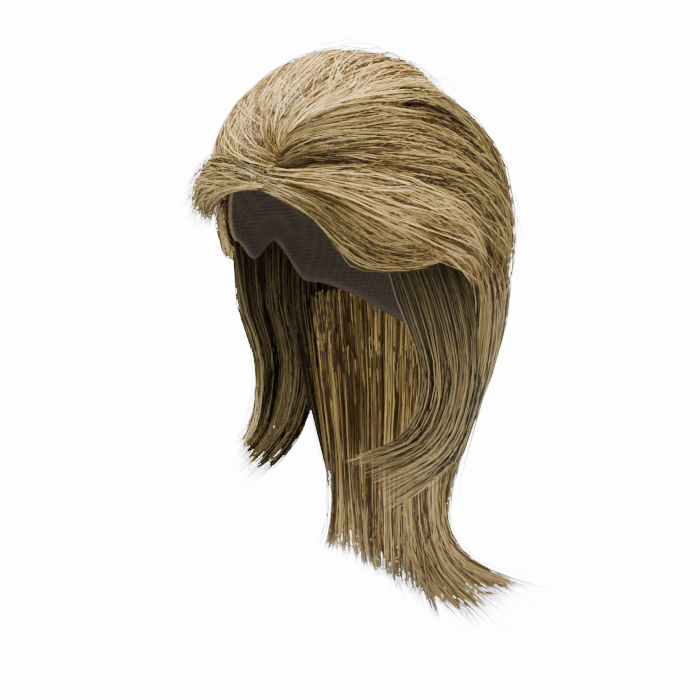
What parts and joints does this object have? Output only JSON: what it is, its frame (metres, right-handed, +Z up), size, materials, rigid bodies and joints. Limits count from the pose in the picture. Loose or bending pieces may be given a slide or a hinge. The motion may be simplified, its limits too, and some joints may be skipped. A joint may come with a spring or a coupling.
{
  "type": "cosplay wig",
  "caption": "Layered blond wig with a lifted, swept-back front, a flicked fringe, combed-back sides and a long flicked back on a thin open cap.",
  "frame": {"origin": "the crown of the wearer's head, on the inside of the cap, where the wig sits", "axes": "+Z up, the wearer faces -Y, +X is the wearer's left"},
  "size_m": [0.227, 0.2205, 0.4275],
  "materials": {
    "hair_light": "silky false hair, pale ash blond",
    "hair_mid": "silky false hair, ash blond",
    "hair_dark": "silky false hair, dark blond",
    "cap_net": "matt stretch net"
  },
  "bodies": {
    "root": {"wig_cap": "cap_net", "quiff": "hair_light", "fringe": "hair_mid", "crown_top": "hair_mid", "wing_left_upper": "hair_mid", "wing_left_middle": "hair_mid", "wing_left_lower": "hair_mid", "wing_right_upper": "hair_mid", "wing_right_middle": "hair_mid", "wing_right_lower": "hair_mid", "side_lock_left": "hair_dark", "side_lock_right": "hair_dark", "back_left": "hair_dark", "back_right": "hair_dark", "tail_left": "hair_mid", "tail_right": "hair_mid"}
  },
  "joints": []
}
